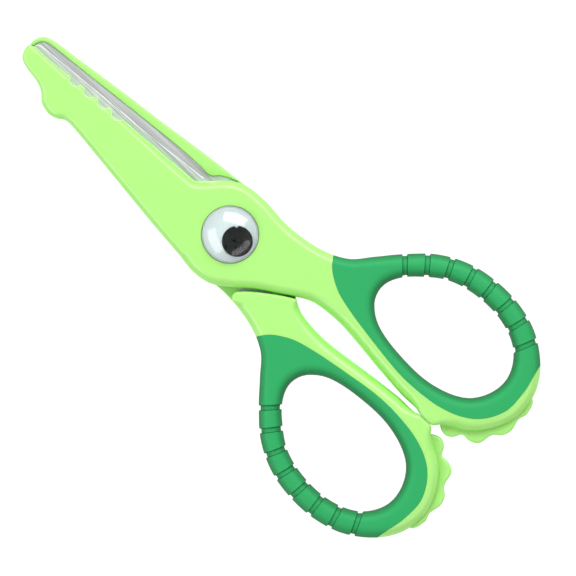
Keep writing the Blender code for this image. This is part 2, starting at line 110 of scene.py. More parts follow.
FINGER_HOLE = [
    (-30.6, -13.7), (-31.5, -17.0), (-34.4, -20.5), (-40.0, -24.6), (-47.0, -26.3), (-54.0, -25.9),
    (-59.7, -23.3), (-62.8, -18.4), (-62.3, -13.2), (-59.0, -8.9), (-52.0, -6.3), (-44.0, -6.1),
    (-36.0, -7.5), (-31.9, -10.3),
]  # fmt: skip

# Four round gaps in the cover's edge, between the crocodile's teeth. A gap's points are (along, into) it.
TOOTH_GAPS, FIRST_GAP, TOOTH_PITCH, TOOTH_STEP = 4, (34.3, -1.86), (3.77, 0.27), 0.24
TOOTH_GAP = [(-1.72, -0.02), (-1.36, 0.12), (-1.14, 0.5), (-0.66, 0.9), (0.0, 1.04)]
TOOTH_GAP += [(-along, into) for along, into in TOOTH_GAP[-2::-1]]

# Paths across a half: where the handle rises to full height, and the inner side of the rim along the jaw,
# from the tip to its heel. The rim meets the outline a little beyond its last point.
SHOULDER = [
    (-19.35, -0.3), (-18.3, -0.85), (-15.9, -2.35), (-11.85, -5.3), (-9.6, -7.35), (-9.05, -8.2),
    (-9.2, -9.1), (-9.95, -9.72),
]  # fmt: skip
RIM_EDGE = [(57.93, 0.15), (57.15, 0.3), (56.95, 1.2), (56.2, 2.4), (54.8, 2.9), (44.0, 3.85), (32.0, 4.95)]
RIM_HEEL = [
    (32.0, 4.95), (20.0, 5.9), (14.5, 6.05), (12.3, 5.95), (11.2, 6.3), (10.3, 7.25), (9.3, 7.95),
    (7.9, 8.6), (6.4, 9.2),
]  # fmt: skip
RIM_HEIGHT, RIM_END_REACH = 0.3, 1.04

# The line where the soft grip meets the hard frame, and the corners that close it round the grip.
SEAM = [
    (-18.0, -13.9), (-18.9, -11.4), (-21.3, -8.8), (-26.0, -6.45), (-38.0, -4.2), (-48.0, -3.15),
    (-57.0, -4.1), (-63.5, -7.1), (-67.1, -12.4), (-67.3, -18.0), (-66.2, -23.4), (-65.6, -27.5),
]  # fmt: skip
SEAM_OUTSIDE = [(-66.0, -36.0), (-17.0, -36.0)]
SEAM_STEP, SEAM_GAP = 0.8, 0.03

# The grooves lie across a path along the middle of the grip. Each reaches across the ring, but not the hole.
GROOVES, GROOVE_WIDTH, GROOVE_DEPTH, GROOVE_CHAMFER, GROOVE_REACH = 8, 0.85, 0.42, 0.16, 5.5
GROOVE_PATH = [
    (-30.9, -20.6), (-34.7, -24.2), (-39.0, -26.8), (-47.9, -28.85), (-56.4, -28.0), (-61.0, -26.0),
]  # fmt: skip
GROOVE_PATH_STEP = 0.05
GROOVED_X, GROOVED_Y = (-64.0, -28.0), -17.5  # the ring's outline is fine between these, below that

FRILL = [
    (-58.6, -3.4), (-59.2, -1.5), (-61.3, -0.55), (-63.0, -1.3), (-64.1, -3.0), (-66.1, -3.15),
    (-67.9, -4.2), (-68.7, -7.2), (-70.4, -8.9), (-71.0, -10.8), (-70.5, -13.5), (-71.0, -15.6),
    (-69.7, -18.6), (-66.5, -18.0), (-66.5, -11.0), (-62.5, -5.2),
]  # fmt: skip
FRILL_THICKNESS, FRILL_ROUND, FRILL_STEP = 3.0, 0.6, 0.4
STOP_MIDDLE, STOP_LENGTH, STOP_EASING, STOP_ROUND = (-56.6, 0.0), 2.4, 5.0, (0.9, 0.9)

# The blade's outline, anticlockwise from the heel, and its ground edge: a land that leans a little, a bevel.
BLADE_THICKNESS, EDGE_LAND, LAND_LEAN, BEVEL_WIDTH = 1.0, 0.98, 0.02, 0.1
EDGE_STEP, BLADE_TIP_STEP, BLADE_BACK_STEP, TANG_STEP = 2.0, 0.4, 3.0, 0.8
CUTTING_EDGE = [(12.8, -4.75), (24.0, -3.65), (38.0, -2.75), (55.9, -1.5)]
BLADE_TIP = [(55.9, -1.5), (56.6, -1.15), (56.95, -0.4), (56.95, 0.7), (56.3, 2.2), (54.5, 3.1)]
BLADE_BACK = [(54.5, 3.1), (34.0, 4.95), (20.0, 6.1), (12.6, 6.4)]
TANG = [
    (12.6, 6.4), (11.3, 7.2), (8.8, 8.6), (4.6, 9.0), (0.0, 9.2), (-4.4, 8.1), (-8.2, 5.2), (-12.5, 1.2),
    (-17.0, -1.9), (-22.0, -4.4), (-22.6, -6.6), (-20.6, -8.0), (-12.0, -7.0), (-8.0, -7.1), (0.0, -8.9),
    (5.6, -8.1), (8.6, -6.1), (11.2, -4.9), (12.8, -4.75),
]  # fmt: skip

# Pockets in the outer faces, as (radius, height) from the face down to the rivet's bore. The eye's parts.
RIVET_BORE = 2.25
EYE_POCKET = [(6.22, 7.6), (6.05, 7.56), (6.0, 7.45), (6.0, 6.55), (4.9, 6.55), (4.9, 5.4), (RIVET_BORE, 5.4)]
HEAD_POCKET = [(5.1, 7.6), (4.94, 7.54), (4.9, 7.4), (4.9, 6.55), (RIVET_BORE, 6.55)]
EYE_RADIUS, EYE_BOTTOM, EYE_WHITE_TOP, EYE_PLAY, EYE_CHAMFER = 5.92, 7.15, 7.6, 0.02, 0.08
DOME_SKIRT, DOME_TOP, DOME_WALL, DOME_RINGS = 7.95, 10.4, 0.35, 16
PUPIL_RADIUS, PUPIL_BOTTOM, PUPIL_TOP, PUPIL_OFFSET, PUPIL_CHAMFERS = 3.2, 7.7, 8.05, 2.05, (0.12, 0.14)
GATE_MARK, GATE_WIDTH, GATE_DEPTH = -44.0, 8.0, 0.5  # a nick in the pupil's rim: direction, width and depth
ROUND_SEGMENTS = 96


# ---------------------------------------------------------------- outlines


def smooth_run(points, step=FINE, before=None, after=None):
    """Points about a step apart along a smooth curve through the given ones, both ends included."""
    knots = [Vector((*p, 0.0)) for p in points]
    first = Vector((*before, 0.0)) if before else 2 * knots[0] - knots[1]
    last = Vector((*after, 0.0)) if after else 2 * knots[-1] - knots[-2]
    guides = [first, *knots, last]
    run = [knots[0].xy]
    for previous, start, end, following in zip(guides, guides[1:], guides[2:], guides[3:]):
        reach = (end - start).length / 3
        leave = start + (end - previous).normalized() * reach
        arrive = end - (following - start).normalized() * reach
        count = max(1, round(3 * reach / step))
        run += [p.xy for p in interpolate_bezier(start, leave, arrive, end, count + 1)[1:]]
    return run


def smooth_loop(points, step=FINE):
    """The same round a closed curve."""
    return smooth_run([*points, points[0]], step, points[-1], points[1])[:-1]


def thinned(run, is_fine):
    """The run with its points spread out, apart from where they are wanted fine."""
    kept = [run[0]]
    for point in run[1:-1]:
        if (point - kept[-1]).length >= (FINE if is_fine(point) else COARSE) * SLACK:
            kept.append(point)
    return kept + [run[-1]]


def tooth_axes():
    """The directions along the teeth and into the cover."""
    along = Vector(TOOTH_PITCH).normalized()
    return along, Vector((-along.y, along.x))


def tooth_depth(point):
    """How far into the cover a point of the teeth's edge lies, or nothing for other points."""
    along, into = tooth_axes()
    offset = point - Vector(FIRST_GAP)
    end = Vector(TOOTH_PITCH).length * (TOOTH_GAPS - 1) - TOOTH_GAP[0][0]
    within = TOOTH_GAP[0][0] < offset.dot(along) < end and abs(offset.dot(into)) < 1.5 * TEETH_ROUND[0]
    return offset.dot(into) if within else None


def tooth_run():
    """The cover's edge along the teeth: round gaps with rounded lobes left between them."""
    along, into = tooth_axes()
    knots = []
    for gap in range(TOOTH_GAPS):
        edge = Vector(FIRST_GAP) + Vector(TOOTH_PITCH) * gap
        knots += [tuple(edge + along * a + into * b) for a, b in TOOTH_GAP]
    return smooth_run(knots, TOOTH_STEP)


def is_grooved(point):
    """Whether a point lies along the grooved side of the ring."""
    return point.y < GROOVED_Y and GROOVED_X[0] < point.x < GROOVED_X[1]


def jaw_outline(jaw):
    """From the tip back along the jaw's outer side and the disc to the start of the slot."""
    return thinned(smooth_run(TIP + jaw), lambda p: p.x > FINE_SNOUT or p.x < FINE_DISC)


def handle_outline():
    """From the start of the slot round the finger ring and the heel to the blade's side."""
    around = SLOT_EDGE + INNER_ARM + STOP_RISE + STOP_FALL + RING_INSIDE + RING_OUTSIDE + OUTER_ARM + HEEL
    return thinned(smooth_run(around), lambda p: is_grooved(p) or p.x > FINE_ARM or stop_share(p) < 1)


def blade_side_outline():
    """Along the blade's side, past the teeth, to the tip."""
    return thinned(smooth_run(BLADE_SIDE), lambda p: False) + tooth_run() + smooth_run(BEYOND_TEETH)


def half_outline(jaw):
    """Outside of one half, anticlockwise from the tip."""
    return jaw_outline(jaw)[:-1] + handle_outline()[:-1] + blade_side_outline()[:-1]


def finger_hole():
    """The hole's outline, clockwise."""
    return thinned(smooth_loop(FINGER_HOLE), is_grooved)


def inset(loop, distances):
    """The loop moved into the material, which is on its left, by one distance for each point."""
    moved = []
    for i, (point, distance) in enumerate(zip(loop, distances)):
        before = (point - loop[i - 1]).normalized()
        after = (loop[(i + 1) % len(loop)] - point).normalized()
        corner = (before.orthogonal() + after.orthogonal()).normalized()
        share = max(0.6, corner.dot(after.orthogonal()))
        moved.append(point + corner * distance / share)
    return moved


def eased(share):
    """A share held between 0 and 1, with a soft start and end."""
    held = min(1.0, max(0.0, share))
    return held * held * (3 - 2 * held)


def blend(a, b, share):
    """A value pair between two others."""
    return [x + (y - x) * eased(share) for x, y in zip(a, b)]


def stop_share(point):
    """0 or less at the flat of the closing stop, and 1 or more clear of it."""
    return ((point - Vector(STOP_MIDDLE)).length - STOP_LENGTH / 2) / STOP_EASING


def ring_share(point):
    """0 on the jaw and arm, 1 at the finger ring."""
    return eased((RING_START - point.x) / RING_EASING)


def blade_share(point):
    """1 along the cover's edge beside the blade, and 0 elsewhere."""
    beside = point.y < 0 and point.x < LIP_END
    return eased((point.x - LIP_START) / LIP_EASING) if beside else 0.0


def outer_round(point):
    """Rounding of the outer face's edge at a point of a half's outline."""
    x, y = point
    if x < RING_START:
        ring = blend(ARM_ROUND, RING_ROUND, (RING_START - x) / RING_EASING)
        return blend(STOP_ROUND, ring, stop_share(point))
    if x < DISC_END:
        return ARM_ROUND
    if y > JAW_SIDE:
        return blend(JAW_ROUND, TIP_ROUND, (x - SNOUT_START) / SNOUT_EASING)
    if x < HEEL_END:
        return blend(ARM_ROUND, BLADE_SIDE_ROUND, (x - DISC_END) / HEEL_EASING)
    if x < TEETH_END:
        return blend(BLADE_SIDE_ROUND, TEETH_ROUND, (x - HEEL_END) / BLADE_SIDE_EASING)
    return blend(TEETH_ROUND, TIP_ROUND, (x - TEETH_END) / TEETH_EASING)


# ---------------------------------------------------------------- meshes


def fill(made, *rings):
    """A flat face across the first ring of vertices, less the others."""
    edges = []
    for ring in rings:
        for i, vertex in enumerate(ring):
            edges.append(made.edges.get((ring[i - 1], vertex)) or made.edges.new((ring[i - 1], vertex)))
    bmesh.ops.triangle_fill(made, use_beauty=True, edges=edges, normal=(0, 0, 1))


def bridge(made, low, high):
    """Quads between two rings with the same number of vertices."""
    for i in range(len(low)):
        made.faces.new((low[i - 1], low[i], high[i], high[i - 1]))


def ring_of(made, loop, height):
    """Vertices for a loop at one height."""
    return [made.verts.new((*point, height)) for point in loop]


def edge_forms(point):
    """An outer edge's profile at a point, from the side to the flat face: a blend of the three given."""
    ring, side = ring_share(point), blade_share(point)
    return [
        [a + (b - a) * ring + (c - a) * side for a, b, c in zip(*forms)]
        for forms in zip(BEVELLED[::-1], ROUND[::-1], LIPPED[::-1])
    ]


def tooth_vertex(point, lip, depth, size, form):
    """Place and fall of a row's vertex by a tooth: a narrow lip, then what the gap leaves of the bevel."""
    across, down = form
    ledge_across, ledge_down = LIPPED[-2]
    left = 1 - depth / TEETH_ROUND[0]
    fall = size[1] * left * min(down, ledge_down)
    if not across:
        return point, fall + LIP_DROP
    return lip + tooth_axes()[1] * size[0] * left * (across - ledge_across), fall


def rounded_rows(made, loop, wall, rounds, edge, sense):
    """Rows from a wall's ring of vertices over a rounded edge to a face. Returns the last row."""
    lips = inset(loop, [LIP_WIDTH] * len(loop))
    depths = [tooth_depth(point) is not None and tooth_depth(lip) for point, lip in zip(loop, lips)]
    last = wall
    for forms in zip(*(edge_forms(point) for point in loop)):
        places = inset(loop, [size[0] * form[0] for size, form in zip(rounds, forms)])
        falls = [size[1] * form[1] for size, form in zip(rounds, forms)]
        for i, depth in enumerate(depths):
            if depth:
                places[i], falls[i] = tooth_vertex(loop[i], lips[i], depth, rounds[i], forms[i])
        row = [made.verts.new((*place, edge - sense * fall)) for place, fall in zip(places, falls)]
        bridge(made, last, row)
        last = row
    return last


def nearest(loop, point):
    """The index of the loop's point nearest to one given."""
    return min(range(len(loop)), key=lambda i: (loop[i] - Vector(point)).length)


def stretch(ring, start, end):
    """Part of a closed ring, from one index to another, both included."""
    return ring[start : end + 1] if start <= end else ring[start:] + ring[: end + 1]


def circle(radius):
    """Points round a circle about the pivot, clockwise."""
    angles = [math.tau * i / ROUND_SEGMENTS for i in range(ROUND_SEGMENTS)]
    return [Vector((radius * math.cos(angle), -radius * math.sin(angle))) for angle in angles]


def raised_region(made, outline, ring, start, end, path, edge, rounds_outside, rounds_inside, holes=()):
    """A part of a half that stands past its inner face: a stretch of the outline, closed by a path across.
    Returns the path's vertices, which the inner face is filled up to."""
    across = [made.verts.new((*point, INNER + FLOOR_DROP)) for point in path[1:-1]]
    loop = stretch(outline, start, end) + path[1:-1][::-1]
    base = stretch(ring, start, end) + across[::-1]
    outside = len(base) - len(across)
    away = [min((p - path[0]).length, (p - path[-1]).length) for p in loop[:outside]]
    rounds = [blend(rounds_inside, rounds_outside(p), far / RAISED_EASING) for p, far in zip(loop, away)]
    rounds += [rounds_inside] * len(across)
    last = rounded_rows(made, loop, base, rounds, edge, -1)
    fill(made, last, *[rounded_rows(made, h, r, [rounds_outside(p) for p in h], edge, -1) for h, r in holes])
    return across


def groove_places():
    """The middle of each groove on the path, and the direction across it."""
    path = smooth_run(GROOVE_PATH, GROOVE_PATH_STEP)
    steps = [round(number * (len(path) - 2) / (GROOVES - 1)) for number in range(GROOVES)]
    return [(path[at], (path[at + 1] - path[at]).normalized()) for at in steps]


def cut_grooves(made):
    """Slices the ring at both corners of each groove's sides, and draws the surface between them inwards."""
    reach = GROOVE_WIDTH / 2 + GROOVE_CHAMFER
    for middle, across in groove_places():
        for away in (-reach, -GROOVE_WIDTH / 2, GROOVE_WIDTH / 2, reach):
            near = [f for f in made.faces if (f.calc_center_median().xy - middle).length < GROOVE_REACH]
            near += list({e for f in near for e in f.edges}) + list({v for f in near for v in f.verts})
            at = middle + across * away
            bmesh.ops.bisect_plane(made, geom=near, dist=1e-5, plane_co=(*at, 0), plane_no=(*across, 0))
    for middle, across in groove_places():
        for vertex in made.verts:
            offset = vertex.co.xy - middle
            away = offset.dot(across)
            if abs(away) < reach and offset.length < GROOVE_REACH:
                inward = Vector((*(across * away - offset), LAYER - vertex.co.z))
                share = min(1.0, (reach - abs(away)) / GROOVE_CHAMFER)
                vertex.co += inward.normalized() * GROOVE_DEPTH * share


def taper(made):
    """Thins the jaw's outer face towards the tip, after slicing it so that it bends evenly."""
    for x in range(TAPER_START, TAPER_END, TAPER_SLICE):
        everything = [*made.verts, *made.edges, *made.faces]
        bmesh.ops.bisect_plane(made, geom=everything, dist=1e-5, plane_co=(x, 0, 0), plane_no=(1, 0, 0))
    for vertex in made.verts:
        along = (vertex.co.x - TAPER_START) / (TAPER_END - TAPER_START)
        if along > 0 and vertex.co.z > LAYER:
            vertex.co.z = LAYER + (vertex.co.z - LAYER) * (1 - (1 - TAPER_LEFT) * min(1.0, along))


def half_body(made, jaw, pocket):
    """The whole of one half, frame and grip together, as one closed surface."""
    outline, hole = half_outline(jaw), finger_hole()
    level = INNER + FLOOR_DROP
    ring, hole_ring = ring_of(made, outline, level), ring_of(made, hole, level)
    top = rounded_rows(made, outline, ring, [outer_round(p) for p in outline], THICKNESS, 1)
    hole_top = rounded_rows(made, hole, hole_ring, [outer_round(p) for p in hole], THICKNESS, 1)
    profile = [*pocket, (RIVET_BORE, level)]
    pocket_rings = [ring_of(made, circle(radius), height) for radius, height in profile]
    for high, low in zip(pocket_rings, pocket_rings[1:]):
        bridge(made, high, low)
    fill(made, top, hole_top, pocket_rings[0])
    slot, arm = nearest(outline, SHOULDER[0]), nearest(outline, SHOULDER[-1])
    shoulder = [outline[slot], *smooth_run(SHOULDER)[1:-1], outline[arm]]
    step = raised_region(
        made, outline, ring, slot, arm, shoulder, 0.0, outer_round, SHOULDER_ROUND, [(hole, hole_ring)]
    )
    tip = nearest(outline, RIM_EDGE[0])
    rim = smooth_run(RIM_EDGE)[1:-1] + smooth_run(RIM_HEEL)
    heel = nearest(outline, rim[-1] * RIM_END_REACH)
    rim_path = [outline[tip], *rim, outline[heel]]
    edge = raised_region(
        made, outline, ring, tip, heel, rim_path, INNER - RIM_HEIGHT, lambda p: RIM_ROUND, RIM_EDGE_ROUND
    )
    floor = stretch(ring, arm, tip) + edge + stretch(ring, heel, slot) + step
    fill(made, floor, pocket_rings[-1])


def slab(made, loop, middle, thickness, rounding):
    """A slab with rounded edges, centred on a height."""
    rounds = [(rounding, rounding)] * len(loop)
    ring = ring_of(made, loop, middle)
    for sense in (1, -1):
        fill(made, rounded_rows(made, loop, ring, rounds, middle + sense * thickness / 2, sense))


def frill(made):
    """The scalloped frill round the rear of the ring."""
    slab(made, smooth_loop(FRILL, FRILL_STEP), LAYER, FRILL_THICKNESS, FRILL_ROUND)


def grip_zone(made, spread):
    """A tall block over the part of the handle that the soft grip covers."""
    loop = smooth_run(SEAM, SEAM_STEP) + [Vector(p) for p in SEAM_OUTSIDE]
    moved = inset(loop, [-spread] * len(loop))
    low, high = ring_of(made, moved, -BEYOND), ring_of(made, moved, THICKNESS + BEYOND)
    bridge(made, low, high)
    fill(made, low)
    fill(made, high)


def blade(made):
    """The steel of one half: flat on the inner face, ground back on the other along its edge and tip."""
    edge = smooth_run(CUTTING_EDGE, EDGE_STEP)[:-1]
    tip = smooth_run(BLADE_TIP, BLADE_TIP_STEP)[:-1]
    rest = smooth_run(BLADE_BACK, BLADE_BACK_STEP)[:-1] + smooth_run(TANG, TANG_STEP)[:-1]
    loop = edge + tip + rest
    ground = [1.0] * len(edge) + [1 - i / len(tip) for i in range(len(tip))] + [0.0] * len(rest)
    levels = [(0.0, 0.0), (LAND_LEAN, EDGE_LAND), (BEVEL_WIDTH, BLADE_THICKNESS)]
    rings, bores = [], []
    for distance, height in levels:
        rings.append(ring_of(made, inset(loop, [distance * share for share in ground]), INNER + height))
        bores.append(ring_of(made, circle(RIVET_BORE), INNER + height))
    for low, high in [*zip(rings, rings[1:]), *zip(bores, bores[1:])]:
        bridge(made, low, high)
    fill(made, rings[0], bores[0])
    fill(made, rings[-1], bores[-1])


def turned(made, profile, offset=0.0):
    """A solid of revolution from a closed (radius, height) profile."""
    rings = []
    for radius, height in profile:
        if radius == 0:
            rings.append([made.verts.new((offset, 0, height))] * ROUND_SEGMENTS)
        else:
            rings.append([made.verts.new((p.x + offset, p.y, height)) for p in circle(radius)])
    for low, high in zip(rings, rings[1:] + rings[:1]):
        for i in range(ROUND_SEGMENTS):
            corners = list(dict.fromkeys((low[i - 1], low[i], high[i], high[i - 1])))
            if len(corners) > 2:
                made.faces.new(corners)


def dome_arc(radius, skirt, top):
    """A dome's profile, as part of a circle from its skirt to its crown."""
    rise = top - skirt
    bend = (radius * radius + rise * rise) / (2 * rise)
    turns = [math.asin(radius / bend) * (1 - i / DOME_RINGS) for i in range(DOME_RINGS)]
    return [(bend * math.sin(turn), top - bend * (1 - math.cos(turn))) for turn in turns] + [(0, top)]


def disc_profile(radius, bottom, top, low_chamfer, high_chamfer):
    """The profile of a solid disc with chamfered edges."""
    return [
        (0, bottom), (radius - low_chamfer, bottom), (radius, bottom + low_chamfer),
        (radius, top - high_chamfer), (radius - high_chamfer, top), (0, top),
    ]  # fmt: skip


def eye_white(made):
    """The white disc under the dome."""
    turned(made, disc_profile(EYE_RADIUS - EYE_PLAY, EYE_BOTTOM, EYE_WHITE_TOP, EYE_CHAMFER, EYE_CHAMFER))


def eye_dome(made):
    """The clear dome, an even shell that stands on the white's rim."""
    bottom = EYE_WHITE_TOP + EYE_PLAY
    outside = dome_arc(EYE_RADIUS, DOME_SKIRT, DOME_TOP)
    inside = dome_arc(EYE_RADIUS - DOME_WALL, DOME_SKIRT, DOME_TOP - DOME_WALL)
    turned(made, [(EYE_RADIUS, bottom), *outside, *inside[::-1], (EYE_RADIUS - DOME_WALL, bottom)])


def eye_pupil(made):
    """The loose black disc, lying off centre, with the nick that its mould's gate left in the rim."""
    turned(made, disc_profile(PUPIL_RADIUS, PUPIL_BOTTOM, PUPIL_TOP, *PUPIL_CHAMFERS), -PUPIL_OFFSET)
    for vertex in made.verts:
        outward = vertex.co.xy - Vector((-PUPIL_OFFSET, 0))
        away = math.degrees(math.atan2(outward.y, outward.x)) - GATE_MARK
        vertex.co.xy -= outward.normalized() * GATE_DEPTH * max(0, 1 - abs(away) / GATE_WIDTH)


# ---------------------------------------------------------------- materials


MIX_FACTOR, MIX_FIRST, MIX_SECOND, MIX_RESULT = 0, 6, 7, 2  # a colour Mix node's sockets, which share names


def new_material(name, colour, roughness, **sockets):
    """A Principled material, and its node tree and shader for adding detail."""
    made = bpy.data.materials.new(name)
    made.use_nodes = True
    shader = made.node_tree.nodes["Principled BSDF"]
    shader.inputs["Base Color"].default_value = (*colour, 1.0)
    shader.inputs["Roughness"].default_value = roughness
    for socket, value in sockets.items():
        shader.inputs[socket.replace("_", " ")].default_value = value
    return made, made.node_tree, shader


def node(tree, kind, inputs=(), **settings):
    """A node with its settings and its inputs, which are values or other nodes' outputs."""
    made = tree.nodes.new(kind)
    for name, value in settings.items():
        setattr(made, name, value)
    for name, value in dict(inputs).items():
        if isinstance(value, bpy.types.NodeSocket):
            tree.links.new(value, made.inputs[name])
        else:
            made.inputs[name].default_value = value
    return made


def stretched(tree, scale):
    """Object coordinates, scaled along each axis."""
    place = node(tree, "ShaderNodeTexCoord").outputs["Object"]
    return node(tree, "ShaderNodeMapping", {"Vector": place, "Scale": scale}).outputs["Vector"]


def noise(tree, scale, detail=3.0, stretch_by=(1, 1, 1)):
    """Soft noise, with so many waves to the metre."""
    inputs = {"Vector": stretched(tree, stretch_by), "Scale": scale, "Detail": detail}
    return node(tree, "ShaderNodeTexNoise", inputs).outputs["Fac"]


def between(tree, factor, low, high):
    """A value that runs from low to high as the factor runs over the middle of its range."""
    inputs = {"Value": factor, "From Min": 0.3, "From Max": 0.7, "To Min": low, "To Max": high}
    return node(tree, "ShaderNodeMapRange", inputs).outputs["Result"]


def tint(tree, factor, first, second):
    """A colour between two, by a factor. The second may be another node's output."""
    second = second if isinstance(second, bpy.types.NodeSocket) else (*second, 1.0)
    inputs = {MIX_FACTOR: factor, MIX_FIRST: (*first, 1.0), MIX_SECOND: second}
    return node(tree, "ShaderNodeMix", inputs, data_type="RGBA").outputs[MIX_RESULT]


def bump(tree, height, distance):
    """Small relief, as high as the distance in millimetres."""
    inputs = {"Height": height, "Distance": distance * MM, "Strength": 1.0}
    return node(tree, "ShaderNodeBump", inputs).outputs["Normal"]


def painted_side_shade(tree, top, side):
    """The colour on faces that look up or down, and painted shade on upright faces: a deeper colour that
    takes over as a face turns from level towards upright.
    """
    normal = node(tree, "ShaderNodeTexCoord").outputs["Normal"]
    up = node(tree, "ShaderNodeSeparateXYZ", {"Vector": normal}).outputs["Z"]
    level = node(tree, "ShaderNodeMath", {0: up}, operation="ABSOLUTE").outputs[0]
    inputs = {"Value": level, "From Min": 0.25, "From Max": 0.85, "To Min": 0.0, "To Max": 1.0}
    share = node(tree, "ShaderNodeMapRange", inputs).outputs["Result"]
    return tint(tree, share, side, top)


def lime_plastic():
    made, tree, shader = new_material("lime_abs", (0.362, 0.74, 0.188), 0.3, Specular_IOR_Level=0.5)
    shader.inputs["Subsurface Weight"].default_value = 0.12
    shader.inputs["Subsurface Radius"].default_value = (0.0012, 0.0022, 0.0006)
    shader.inputs["Subsurface Scale"].default_value = 1.0
    clouds = noise(tree, 60.0)
    top = tint(tree, clouds, (0.366, 0.735, 0.19), (0.374, 0.755, 0.194))
    # Painted shade: sloping and upright faces of the moulding get a deeper, more saturated lime, standing in
    # for the shade along its edges.
    tree.links.new(painted_side_shade(tree, top, (0.25, 0.68, 0.085)), shader.inputs["Base Color"])
    tree.links.new(between(tree, noise(tree, 900.0), 0.28, 0.32), shader.inputs["Roughness"])
    tree.links.new(bump(tree, noise(tree, 2600.0, 2.0), 0.001), shader.inputs["Normal"])
    return made


def soft_rubber():
    made, tree, shader = new_material("green_tpr", (0.027, 0.335, 0.106), 0.5, Specular_IOR_Level=0.12)
    clouds = noise(tree, 90.0)
    top = tint(tree, clouds, (0.026, 0.325, 0.102), (0.028, 0.345, 0.11))
    # Painted shade: sloping and upright faces of the grip get a darker green, standing in for the shade along
    # the ring's borders.
    tree.links.new(painted_side_shade(tree, top, (0.001, 0.13, 0.03)), shader.inputs["Base Color"])
    tree.links.new(between(tree, noise(tree, 1200.0), 0.46, 0.58), shader.inputs["Roughness"])
    tree.links.new(bump(tree, noise(tree, 3200.0, 4.0), 0.02), shader.inputs["Normal"])
    return made


def ground_steel():
    made, tree, shader = new_material("ground_steel", (0.62, 0.64, 0.62), 0.3, Metallic=0.82)
    lines = noise(tree, 4200.0, 6.0, (0.008, 1, 1))
    streaks = between(tree, lines, 0.0, 1.0)
    face = tint(tree, streaks, (0.54, 0.6, 0.59), (1.0, 1.0, 1.0))
    # Painted shade: the steel's upright faces, such as the land beside the cutting edge, are coloured dark
    # grey.
    tree.links.new(painted_side_shade(tree, face, (0.11, 0.115, 0.11)), shader.inputs["Base Color"])
    tree.links.new(between(tree, lines, 0.46, 0.56), shader.inputs["Roughness"])
    tree.links.new(bump(tree, lines, 0.01), shader.inputs["Normal"])
    return made


def rivet_steel():
    made, tree, shader = new_material("rivet_steel", (0.66, 0.67, 0.68), 0.28, Metallic=1.0)
    marks = noise(tree, 500.0, 4.0)
    tree.links.new(between(tree, marks, 0.22, 0.36), shader.inputs["Roughness"])
    tree.links.new(bump(tree, marks, 0.01), shader.inputs["Normal"])
    return made


def foam():
    made, tree, shader = new_material("foam_pad", (0.8, 0.8, 0.78), 0.85)
    tree.links.new(bump(tree, noise(tree, 1800.0), 0.05), shader.inputs["Normal"])
    return made


def white_plastic():
    made, tree, shader = new_material("eye_white", (0.8, 0.93, 0.93), 0.35)
    tree.links.new(between(tree, noise(tree, 400.0), 0.3, 0.4), shader.inputs["Roughness"])
    return made


def black_plastic():
    made, tree, shader = new_material("eye_black", (0.014, 0.017, 0.016), 0.3)
    tree.links.new(between(tree, noise(tree, 700.0), 0.24, 0.36), shader.inputs["Roughness"])
    return made


def clear_plastic():
    sockets = {"Transmission_Weight": 1.0, "IOR": 1.36}
    made, tree, shader = new_material("clear_styrene", (1.0, 1.0, 1.0), 0.07, **sockets)
    tree.links.new(between(tree, noise(tree, 200.0), 0.06, 0.08), shader.inputs["Roughness"])
    return made


# ---------------------------------------------------------------- pieces


SHARP_MOULDING, SHARP_STEEL = 40.0, 12.0  # edges that bend by more than these stay sharp, in degrees


def new_piece(name, mesh_makers, turned_over=False):
    """An object from functions that each add to a bmesh in the front half's frame, in millimetres."""
    mesh = bpy.data.meshes.new(name)
    made = bmesh.new()
    for make in mesh_makers:
        make(made)
    bmesh.ops.recalc_face_normals(made, faces=made.faces)
    if turned_over:
        for vertex in made.verts:
            vertex.co.y, vertex.co.z = -vertex.co.y, THICKNESS - vertex.co.z
    bmesh.ops.scale(made, vec=(MM, MM, MM), verts=made.verts)
    made.to_mesh(mesh)
    made.free()
    piece = bpy.data.objects.new(name, mesh)
    bpy.context.scene.collection.objects.link(piece)
    return piece


def finished(piece, material, angle=SHARP_MOULDING, weighted=True):
    """Gives a piece its material and smooth shading with sharp edges kept."""
    piece.data.materials.clear()
    piece.data.materials.append(material)
    piece.data.shade_smooth()
    piece.data.set_sharp_from_angle(angle=math.radians(angle))
    if weighted:
        normals = piece.modifiers.new("even_normals", "WEIGHTED_NORMAL")
        normals.keep_sharp = True
    return piece


def cut(piece, cutter, operation):
    """Applies a boolean to the piece's mesh."""
    step = piece.modifiers.new("cut", "BOOLEAN")
    step.operation, step.solver, step.object = operation, "EXACT", cutter
    applied = bpy.data.meshes.new_from_object(piece.evaluated_get(bpy.context.evaluated_depsgraph_get()))
    piece.modifiers.remove(step)
    piece.data = applied


def half(side, jaw, pocket, materials):
    """Frame, grip and blade of one half."""
    over = side == "back"
    body = [lambda made: half_body(made, jaw, pocket)]
    hard = new_piece(f"{side}_moulding", [*body, taper], over)
    soft = new_piece(f"{side}_soft_grip", [*body, cut_grooves], over)
    for piece, spread, operation in ((hard, SEAM_GAP, "DIFFERENCE"), (soft, 0.0, "INTERSECT")):
        zone = new_piece("zone", [lambda made: grip_zone(made, spread)], over)
        cut(piece, zone, operation)
        bpy.data.objects.remove(zone)
    trim = new_piece(f"{side}_frill", [frill], over)
    steel = new_piece(f"{side}_steel", [blade], over)
    for piece, node_name, slot, material, angle in (
        (hard, f"{side}_frame", "lime_plastic", materials["lime"], SHARP_MOULDING),
        (soft, f"{side}_grip", "green_soft_rubber", materials["green"], SHARP_MOULDING),
        (trim, f"{side}_frame", "lime_plastic", materials["lime"], SHARP_MOULDING),
        (steel, f"{side}_blade", "blade_steel", materials["steel"], SHARP_STEEL),
    ):
        finished(piece, material, angle)
        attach(piece, f"{side}_half")
        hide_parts(node_name)


